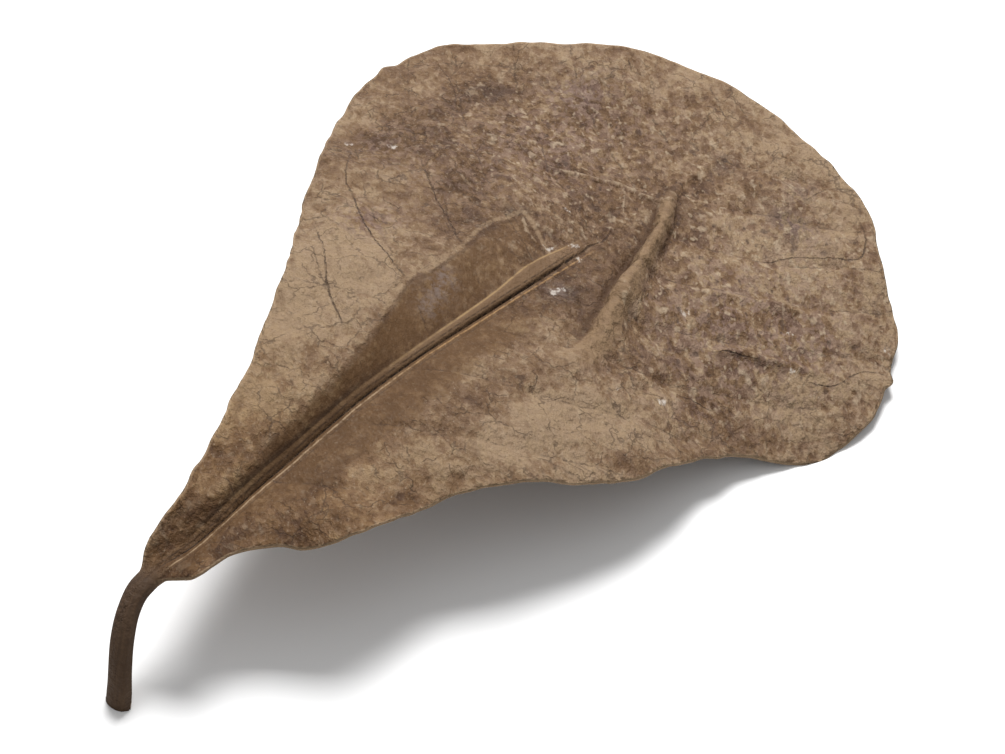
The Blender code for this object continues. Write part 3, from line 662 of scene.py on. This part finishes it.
class Nodes:
    """Short calls that add nodes to one material. A value is a node's output, a number or a colour."""

    def __init__(self, name, colour):
        self.material = bpy.data.materials.new(name)
        self.material.use_nodes = True
        self.tree = self.material.node_tree
        self.shader = self.tree.nodes["Principled BSDF"]
        self.colour = colour

    def add(self, kind, **settings):
        """A new node with those settings."""
        node = self.tree.nodes.new(kind)
        for key, value in settings.items():
            setattr(node, key, value)
        return node

    def plug(self, value, socket):
        """Links an output to a socket, or sets a plain value on it."""
        if isinstance(value, bpy.types.NodeSocket):
            self.tree.links.new(value, socket)
        else:
            socket.default_value = value

    def feed(self, node, *values, **named):
        """Plugs values into a node's first sockets, or into its sockets of those names."""
        for value, socket in zip(values, node.inputs):
            self.plug(value, socket)
        for name, value in named.items():
            self.plug(value, node.inputs[name])
        return node.outputs

    def parts(self, vector):
        return self.feed(self.add("ShaderNodeSeparateXYZ"), vector)[:3]

    def read(self, name):
        """The three numbers that the mesh stores under a name."""
        return self.parts(self.add("ShaderNodeAttribute", attribute_name=name).outputs["Vector"])

    def math(self, operation, *values):
        return self.feed(self.add("ShaderNodeMath", operation=operation), *values)[0]

    def times(self, first, *others):
        for value in others:
            first = self.math("MULTIPLY", first, value)
        return first

    def plus(self, a, b):
        return self.math("ADD", a, b)

    def minus(self, a, b):
        return self.math("SUBTRACT", a, b)

    def scaled(self, value, factor, added):
        return self.math("MULTIPLY_ADD", value, factor, added)

    def largest(self, a, b):
        return self.math("MAXIMUM", a, b)

    def size(self, value):
        return self.math("ABSOLUTE", value)

    def join(self, x, y, z=0):
        return self.feed(self.add("ShaderNodeCombineXYZ"), x, y, z)[0]

    def between(self, value, low, high, to_low=0, to_high=1):
        """The value's way from low to high, smoothed, as a number from to_low to to_high."""
        node = self.add("ShaderNodeMapRange", interpolation_type="SMOOTHSTEP")
        return self.feed(node, value, low, high, to_low, to_high)[0]

    def noise(self, place, scale, detail, roughness):
        node = self.add("ShaderNodeTexNoise")
        return self.feed(node, Vector=place, Scale=scale, Detail=detail, Roughness=roughness)["Fac"]

    def warp(self, place, scale, amount):
        """The place moved about by a noise, so that what is drawn there is bent."""
        field = self.feed(self.add("ShaderNodeTexNoise"), Vector=place, Scale=scale, Detail=2)["Color"]
        centred = self.feed(self.add("ShaderNodeVectorMath", operation="SUBTRACT"), field, (0.5, 0.5, 0.5))[0]
        mover = self.add("ShaderNodeVectorMath", operation="MULTIPLY_ADD")
        return self.feed(mover, centred, (amount, amount, amount), place)[0]

    def net(self, place, scale):
        """Distance to the nearest line of a net of cells."""
        node = self.add("ShaderNodeTexVoronoi", feature="DISTANCE_TO_EDGE")
        return self.feed(node, Vector=place, Scale=scale)["Distance"]

    def mix(self, factor, a, b, blend="MIX"):
        node = self.add("ShaderNodeMix", data_type="RGBA", blend_type=blend)
        for value, socket in ((factor, 0), (a, 6), (b, 7)):
            self.plug(value, node.inputs[socket])
        return node.outputs[2]

    def paint(self, tint, *masks, blend="MIX"):
        """Lays a tint over the colour so far, as thickly as the product of the masks says."""
        self.colour = self.mix(self.times(*masks), self.colour, tint, blend)

    def within(self, stretches):
        """The product of a form's stretches along the midrib: where the form comes, and where it goes."""
        return self.times(*(self.between(self.along, *stretch) for stretch in stretches))

    def finish(self, roughness, height, depth, specular):
        """Puts the colour, the roughness and the bump of a height in millimetres on the shader."""
        bump = self.feed(self.add("ShaderNodeBump"), Height=height, Strength=1, Distance=depth * MM)[0]
        self.feed(self.shader, **{"Normal": bump, "Base Color": self.colour, "Roughness": roughness})
        self.shader.inputs["Specular IOR Level"].default_value = specular
        return self.material


# Colours of the dried blade, with the painted shade, sheen and highlights on it
DARK_BROWN = linear(72, 50, 32)
BROWN = linear(98, 73, 50)
MIDDLE_BROWN = linear(119, 93, 68)
TAN = linear(149, 125, 98)
# Light tan of the ridge's top, partly its own colour and partly a painted highlight
RIDGE_TAN_AND_HIGHLIGHT = linear(142, 116, 88)
PURPLE_BROWN = linear(106, 82, 71)
STAIN = linear(62, 48, 42)
VEIN_DARK = linear(52, 37, 28)
LILAC = linear(142, 118, 104)
# Brown of the walls beside the midrib, partly their own darker brown and partly painted shade in the fold
RECESS_BROWN_AND_SHADE = linear(91, 67, 44)
# Colour of a painted grey sheen
PAINTED_SHEEN = linear(120, 104, 96)
FLECK = linear(175, 155, 130)
RIB_CREAM = linear(160, 131, 92)
RIB_ORANGE = linear(172, 134, 90)
RIB_SHADE = linear(40, 27, 18)
RIM = linear(176, 150, 120)
# Colour of the painted highlights on small glints
GLINT_HIGHLIGHT = linear(206, 196, 186)
STALK = linear(98, 76, 56)
UNDER_TAN = linear(158, 130, 101)
UNDER_VEIN = linear(112, 84, 60)
WARMTH = (1, 0.94, 0.8, 1)
FLOOR_WHITE = (0.86, 0.86, 0.86, 1)

# Noises as (lumps in a millimetre, detail, roughness)
CLOUD = (0.085, 3, 0.6)
PATCHY = (0.16, 2, 0.5)
MOTTLE = (0.33, 4, 0.64)
HUE = (0.7, 3, 0.65)
BLOTCH = (0.95, 3, 0.64)
SPECKLE = (1.1, 1, 0.5)
GRAIN = (2.6, 2, 0.55)
LARGE_FLECK = (0.55, 2, 0.5)
STREAK = (0.5, 2, 0.5)
DRIFT = (0.6, 3, 0.7)
SHAKE = (0.8, 3, 0.7)
STALK_FIBRE = (1, 3, 0.6)
UNDER_CLOUD, UNDER_MOTTLE, UNDER_GRAIN = (0.13, 4, 0.6), (0.6, 4, 0.65), (2, 3, 0.6)

# Where forms come and go, as stretches along the midrib of (from, to) or (from, to, amount, amount)
STALK_END = [(3, -1)]
RIB = [(102, 96), (0, 5)]
PLAIN_STRIP, STRIP_EDGE, ORANGE_LINE = [(40, 66, 0.25, 0.8)], [(45, 75, 0.12, 1)], [(62, 46)]
FAR_RECESS, NEAR_HOLLOW = [(6, 30, 0.15, 1), (98, 66, 0.45, 1)], [(88, 70)]
HOLLOW_NARROWS = 57
FURROW_SHADE, WARM_BASE = [(6, 14), (62, 40)], [(55, 20)]
CREST_SHADE, CREST_HIGHLIGHT = [(30, 60, 0.1, 0.6)], [(60, 75, 0.2, 0.6)]
RIDGE_FOOT_SHADE, RIDGE_SHADE = [(78, 86), (120, 115)], [(104, 113, 0, 0.85), (120, 117)]

# Lines along the midrib, three dark ones of painted shade in and beside the groove and one pale, as (place
# across, half width, strength)
RIB_LINES = [(-0.6, 0.08, 0.6), (0.1, 0.16, 0.9), (1.7, 0.07, 0.35), (1.15, 0.09, 0.7)]
# Surfaces as (depth of the bumps, specular level)
UPPER_SURFACE, UNDER_SURFACE = (0.3, 0.15), (0.2, 0.3)


def upper_face():
    """The upper face's nodes, with the stored numbers, noises and masks that several layers share."""
    n = Nodes("leaf_upper", BROWN)
    n.along, n.across, n.inward = n.read("leaf_place")
    high, n.out, n.vein_gap = n.read("vein_place")
    n.light, n.purple, n.stain = n.read("tone")
    n.crack_gap, n.crack_strength = n.read("crack")[:2]
    n.flecks, n.glint, n.sheen = n.read("fleck_and_shine")
    n.ridge_gap, ridge_tall, n.raised = n.read("ridge")
    n.far_in, n.near_in, n.strip = n.read("fold")
    n.flat = n.join(n.along, n.across)
    n.grown = n.join(n.times(n.plus(n.along, n.across), 0.74), n.times(n.minus(n.along, n.across), 0.5), high)
    n.mottle = n.noise(n.warp(n.grown, 0.3, 1.3), *MOTTLE)
    n.blotch, n.speckle, n.grain = (n.noise(n.grown, *kind) for kind in (BLOTCH, SPECKLE, GRAIN))
    n.shaky = n.scaled(n.noise(n.flat, *SHAKE), 1.3, -0.65)
    flank = n.scaled(n.math("LESS_THAN", n.ridge_gap, 0), 0.25, n.size(n.ridge_gap))
    n.on_ridge = n.times(n.between(flank, 1.4, 0.8), n.between(ridge_tall, 0.3, 1.5))
    n.walls = brown_shaded_wall_mask(n)
    n.plain = n.minus(1, n.largest(n.times(n.walls, 0.7), n.on_ridge))
    n.thick = n.times(n.between(n.flecks, 0, 0.8, 0.12, 0.5), n.plain)
    return n


def brown_shaded_wall_mask(n):
    """1 on the smooth walls beside the midrib, the far recess and the near hollow, which are painted brown
    and darker as shade in the fold.
    """
    recess = n.times(n.between(n.scaled(n.mottle, 2.4, n.far_in), 0.9, 2.2), n.within(FAR_RECESS))
    ragged = n.scaled(n.mottle, 8, n.scaled(n.blotch, 4, n.near_in))
    ragged = n.scaled(n.largest(n.minus(n.along, HOLLOW_NARROWS), 0), -0.33, ragged)
    return n.largest(recess, n.times(n.between(ragged, 5.2, 6.6), n.within(NEAR_HOLLOW), 0.8))


def mottled_ground(n):
    """Mottled brown and tan, purple in places, with stains."""
    patchy = n.noise(n.warp(n.flat, 0.2, 3), *PATCHY)
    cells = n.feed(n.add("ShaderNodeTexVoronoi"), Vector=n.warp(n.grown, 1.5, 0.6), Scale=1)
    areole = n.parts(cells["Color"])[0]
    uneven = n.scaled(n.mottle, 2.2, n.scaled(n.blotch, 2, -2.1))
    uneven = n.scaled(n.minus(areole, 0.5), 0.55, uneven)
    uneven = n.times(uneven, n.between(n.flecks, 0, 0.6, 0.7, 1.15))
    value = n.scaled(n.noise(n.flat, *CLOUD), 1.8, n.scaled(n.light, 0.75, -1.07))
    value = n.plus(value, n.scaled(n.between(patchy, 0.44, 0.56), 0.3, uneven))
    n.colour = n.mix(n.between(value, -0.8, -0.25), DARK_BROWN, BROWN)
    n.paint(MIDDLE_BROWN, n.between(value, -0.3, 0.2))
    n.paint(TAN, n.between(value, 0.1, 0.75))
    hue = n.between(n.noise(n.grown, *HUE), 0.46, 0.54)
    n.paint(n.mix(areole, PURPLE_BROWN, LILAC), n.plus(n.purple, 0.2), hue, 0.8)
    n.paint(STAIN, n.math("MINIMUM", n.times(n.stain, n.between(n.blotch, 0.4, 0.6, 0.25, 1)), 0.8))


def walls_brown_and_shaded(n):
    """The walls beside the midrib in brown with painted shade, a painted shadow line at the foot of the
    strip, warmth and a painted grey sheen.
    """
    # The walls' brown with painted shade, darkest beside the midrib's strip
    far_brown_and_shade = n.mix(n.between(n.strip, -2.2, -0.2, 0, 0.6), RECESS_BROWN_AND_SHADE, DARK_BROWN)
    n.paint(n.mix(n.between(n.across, -0.4, 0.4), far_brown_and_shade, RECESS_BROWN_AND_SHADE),
            n.walls, n.between(n.plus(n.mottle, n.blotch), 0.85, 1.15, 1, 0.6))
    # A painted shadow line along the foot of the strip
    n.paint(RIB_SHADE, n.between(n.strip, -0.9, -0.25), n.between(n.strip, 0, -0.15), n.within(FURROW_SHADE), 0.6)
    n.paint(WARMTH, n.largest(n.walls, n.within(WARM_BASE)), blend="MULTIPLY")
    drift = n.noise(n.warp(n.flat, 0.9, 0.8), *DRIFT)
    # A painted grey sheen in the recess
    n.paint(PAINTED_SHEEN, n.sheen, n.between(drift, 0.4, 0.62, 0, 0.7))


def flecks(n):
    """Pale and dark flecks, darker streaks along the side veins, and grain."""
    large = n.noise(n.grown, *LARGE_FLECK)
    start = n.scaled(n.out, n.scaled(n.out, -VEIN_BOW, -VEIN_SLOPE), n.along)
    streak = n.noise(n.join(n.times(n.out, 0.45), start, n.times(n.across, 0.1)), *STREAK)
    for tint, field, low, high, strength, where in (
            (FLECK, n.speckle, 0.62, 0.72, 1, n.thick), (DARK_BROWN, n.speckle, 0.38, 0.28, 0.8, n.thick),
            (FLECK, large, 0.6, 0.7, 1, n.thick), (STAIN, large, 0.37, 0.3, 1, n.thick),
            (BROWN, streak, 0.44, 0.3, 0.3, 1),
            (DARK_BROWN, n.grain, 0.42, 0.24, 0.4, n.plain), (FLECK, n.grain, 0.6, 0.78, 0.4, n.plain)):
        n.paint(tint, n.between(field, low, high, 0, strength), where)


def dark_veins(n):
    """Two nets of crackle lines, the side veins and the cracks. Gives where the nets and cracks are."""
    wide = n.between(n.net(n.warp(n.flat, 0.6, 2.4), 0.15), 0.025, 0.008)
    close = n.between(n.net(n.warp(n.flat, 0.9, 1.2), 0.36), 0.04, 0.012)
    net = n.largest(n.times(wide, n.between(n.mottle, 0.42, 0.55, 0, 0.5)),
                    n.times(close, n.between(n.mottle, 0.52, 0.64, 0, 0.4)))
    net = n.times(net, n.between(n.flecks, 0.2, 0.8, 1, 0.35))
    n.paint(VEIN_DARK, net, n.plain)
    n.paint(VEIN_DARK, n.between(n.size(n.plus(n.vein_gap, n.shaky)), 0.22, 0.06),
            n.between(n.mottle, 0.42, 0.6, 0, 0.5))
    crack = n.between(n.size(n.scaled(n.shaky, 0.7, n.crack_gap)), 0.19, 0.05)
    crack = n.times(crack, n.crack_strength)
    n.paint(VEIN_DARK, crack, n.between(n.blotch, 0.38, 0.55, 0.25, 0.9))
    return n.largest(crack, net)


def crest_shade_and_highlight(n):
    """The far crest: a dark line of painted shade along it, and a light band just outside it as a painted
    highlight.
    """
    jagged = n.scaled(n.mottle, -1.6, n.plus(n.far_in, 0.5))
    # Painted shade along the far crest
    n.paint(DARK_BROWN, n.between(n.size(jagged), 0.6, 0.1), n.within(CREST_SHADE),
            n.between(n.blotch, 0.4, 0.55, 0.4, 1))
    # A painted highlight just outside the far crest
    n.paint(TAN, n.between(n.size(n.plus(jagged, 0.9)), 0.6, 0.2), n.within(CREST_HIGHLIGHT),
            n.between(n.blotch, 0.38, 0.55, 0.3, 1))


def ridge_highlight_and_shade(n):
    """The pinched ridge: a smooth light top, partly a painted highlight, a soft dark line of painted shade
    along one foot and painted shade at its upper end.
    """
    # The ridge's light top, partly a painted highlight
    n.paint(RIDGE_TAN_AND_HIGHLIGHT, n.on_ridge, n.between(n.blotch, 0.35, 0.6, 0.5, 0.85))
    wobble = n.scaled(n.mottle, 0.8, n.minus(n.ridge_gap, 0.4))
    # A painted shadow line along one foot of the ridge
    foot = n.plus(n.between(n.size(n.minus(wobble, 1.7)), 0.8, 0.1, 0, 0.5),
                  n.times(n.between(wobble, 5, 1.9, 0, 0.3), n.between(wobble, 1.2, 1.7)))
    n.paint(DARK_BROWN, foot, n.within(RIDGE_FOOT_SHADE))
    # Painted shade at the ridge's upper end
    n.paint(DARK_BROWN, n.between(n.size(n.plus(wobble, 1.5)), 0.5, 0.15), n.within(RIDGE_SHADE))


def rib_lines(n):
    """Along the midrib: a brown strip, dark lines of painted shade, an orange line that pales to the base, a
    cream edge.
    """
    on_rib = n.within(RIB)
    wobble = n.scaled(n.mottle, 0.3, n.minus(n.across, GROOVE_AT))
    n.paint(MIDDLE_BROWN, n.between(n.strip, -0.1, 0.15), n.between(wobble, 0.4, 0.2),
            n.within(PLAIN_STRIP), on_rib)
    pale = n.mix(n.within(ORANGE_LINE), RIB_ORANGE, RIM)
    # Three dark lines of painted shade and one pale line
    tints = (RIB_SHADE, RIB_SHADE, RIB_SHADE, pale)
    for tint, (centre, half_width, strength) in zip(tints, RIB_LINES):
        line = n.between(n.size(n.minus(wobble, centre)), half_width + 0.12, half_width - 0.06)
        n.paint(tint, line, on_rib, n.between(n.blotch, 0.38, 0.55, strength * 0.3, strength))
    n.paint(RIB_CREAM, n.between(n.size(n.minus(n.strip, 0.1)), 0.24, 0.06), on_rib,
            n.between(n.mottle, 0.35, 0.55, 0.3, 0.8), n.within(STRIP_EDGE))


def upper_material():
    """The upper face: mottled brown and tan, flecked and streaked, with dark veins, the pale midrib, painted
    shade and painted highlights.
    """
    n = upper_face()
    mottled_ground(n)
    walls_brown_and_shaded(n)
    flecks(n)
    scored = dark_veins(n)
    crest_shade_and_highlight(n)
    ridge_highlight_and_shade(n)
    # Paler tops of the raised thin creases, partly their own colour and partly a painted highlight
    n.paint(FLECK, n.between(n.scaled(n.blotch, 2.5, n.raised), 1.85, 2.5), 0.5)
    rib_lines(n)
    # Painted highlights of small glints
    shine = n.between(n.scaled(n.minus(n.blotch, 0.5), 3, n.glint), 0.7, 1.2, 0, 0.75)
    n.paint(GLINT_HIGHLIGHT, shine, n.between(n.glint, 0.1, 0.5))
    n.paint(RIM, n.between(n.inward, 0.45, 0.1, 0, 0.6))
    fibre = n.noise(n.join(n.times(n.along, 0.25), n.times(n.across, 2.2)), *STALK_FIBRE)
    n.paint(n.mix(fibre, VEIN_DARK, STALK), n.within(STALK_END))

    height = n.scaled(n.mottle, 3, n.scaled(n.blotch, 1.6, n.times(n.grain, 0.3)))
    height = n.scaled(n.speckle, n.scaled(n.thick, 1.2, 0.3), height)
    height = n.minus(n.minus(height, n.times(scored, 0.4)), 2.6)
    height = n.times(height, n.between(n.walls, 0, 1, 1, 0.4))
    return n.finish(n.between(n.grain, 0.3, 0.7, 0.8, 0.65), height, *UPPER_SURFACE)


def under_material():
    """The underside: paler and duller, with darker ribs and a ladder of fine veins."""
    n = Nodes("leaf_under", BROWN)
    along, across = n.read("leaf_place")[:2]
    gap = n.read("vein_place")[2]
    flat = n.join(along, across)
    cloud, mottle, grain = (n.noise(flat, *kind) for kind in (UNDER_CLOUD, UNDER_MOTTLE, UNDER_GRAIN))
    net, fine = n.net(flat, 0.42), n.net(flat, 1.3)
    n.paint(UNDER_TAN, n.between(n.scaled(cloud, 1.2, n.scaled(mottle, 0.8, -0.9)), -0.3, 0.6))
    n.paint(UNDER_VEIN, n.between(net, 0.09, 0.02, 0, 0.55))
    n.paint(UNDER_VEIN, n.between(fine, 0.12, 0.02, 0, 0.35))
    n.paint(UNDER_VEIN, n.largest(n.between(n.size(gap), 1, 0.5), n.between(n.size(across), 1.9, 1.3)),
            n.between(mottle, 0.3, 0.6, 0.6, 0.95))
    height = n.scaled(n.between(net, 0.12, 0), 0.6, n.times(grain, 0.4))
    height = n.scaled(n.between(fine, 0.15, 0), 0.35, height)
    return n.finish(n.between(grain, 0.3, 0.7, 0.75, 0.6), height, *UNDER_SURFACE)


FLOOR_REACH = 3
KEY_PLACE, KEY_SIZE, KEY_WATTS = (-0.42, 0.5, 0.98), 0.45, 20
SURROUND_LIGHT = 0.52


def floor():
    """A pale surface, wide enough to reach past every view's edge."""
    mesh = bpy.data.meshes.new("floor")
    corners = [(x * FLOOR_REACH, y * FLOOR_REACH, 0) for x, y in ((-1, -1), (1, -1), (1, 1), (-1, 1))]
    mesh.from_pydata(corners, [], [(0, 1, 2, 3)])
    n = Nodes("floor", FLOOR_WHITE)
    for socket, value in (("Base Color", n.colour), ("Roughness", 0.9), ("Specular IOR Level", 0.1)):
        n.shader.inputs[socket].default_value = value
    mesh.materials.append(n.material)
    ground = placed(mesh)


def studio():
    """A soft square light from above and a little behind, with a bright even surround."""
    world = bpy.data.worlds.new("studio")
    world.use_nodes = True
    background = world.node_tree.nodes["Background"]
    background.inputs[0].default_value = (1, 1, 1, 1)
    background.inputs[1].default_value = SURROUND_LIGHT
    bpy.context.scene.world = world
    light = placed(bpy.data.lights.new("key", "AREA"))
    light.data.size = KEY_SIZE
    light.data.energy = KEY_WATTS
    light.location = KEY_PLACE
    light.rotation_euler = (-Vector(KEY_PLACE)).to_track_quat("-Z", "Y").to_euler()
    bpy.context.scene.view_settings.view_transform = "Standard"


# The photograph's camera, in metres. It looks to the left of the midrib's line and down, in degrees
CAMERA_AZIMUTH, CAMERA_PITCH = 44.6, 43.5
CAMERA_DISTANCE = 0.8431
CAMERA_TARGET = (-0.1031, -0.0388, 0)
CAMERA_LENS = 196.0
LEAF_CENTRE = (0.0078, 0.0034, 0.0058)


def camera():
    """The photograph's viewpoint, turned on the spot to face the leaf, with a longer lens."""
    azimuth, pitch = np.radians((CAMERA_AZIMUTH, CAMERA_PITCH))
    forward = Vector((-np.sin(azimuth) * np.cos(pitch), np.cos(azimuth) * np.cos(pitch), -np.sin(pitch)))
    right = Vector((np.cos(azimuth), np.sin(azimuth), 0))
    up = right.cross(forward)
    place = Vector(CAMERA_TARGET) - forward * CAMERA_DISTANCE
    turned = (Vector(LEAF_CENTRE) - place).normalized()
    turn = forward.rotation_difference(turned)
    facing = Matrix((right, up, -forward)).transposed()
    view = placed(bpy.data.cameras.new("camera"))
    view.data.lens = CAMERA_LENS
    view.data.clip_start = 0.01
    view.matrix_world = Matrix.Translation(place) @ (turn.to_matrix() @ facing).to_4x4()
    bpy.context.scene.camera = view


leaf = leaf_object()
leaf.data.materials.append(upper_material())
leaf.data.materials.append(under_material())
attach(leaf, "root")
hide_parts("leaf")
floor()
studio()
camera()
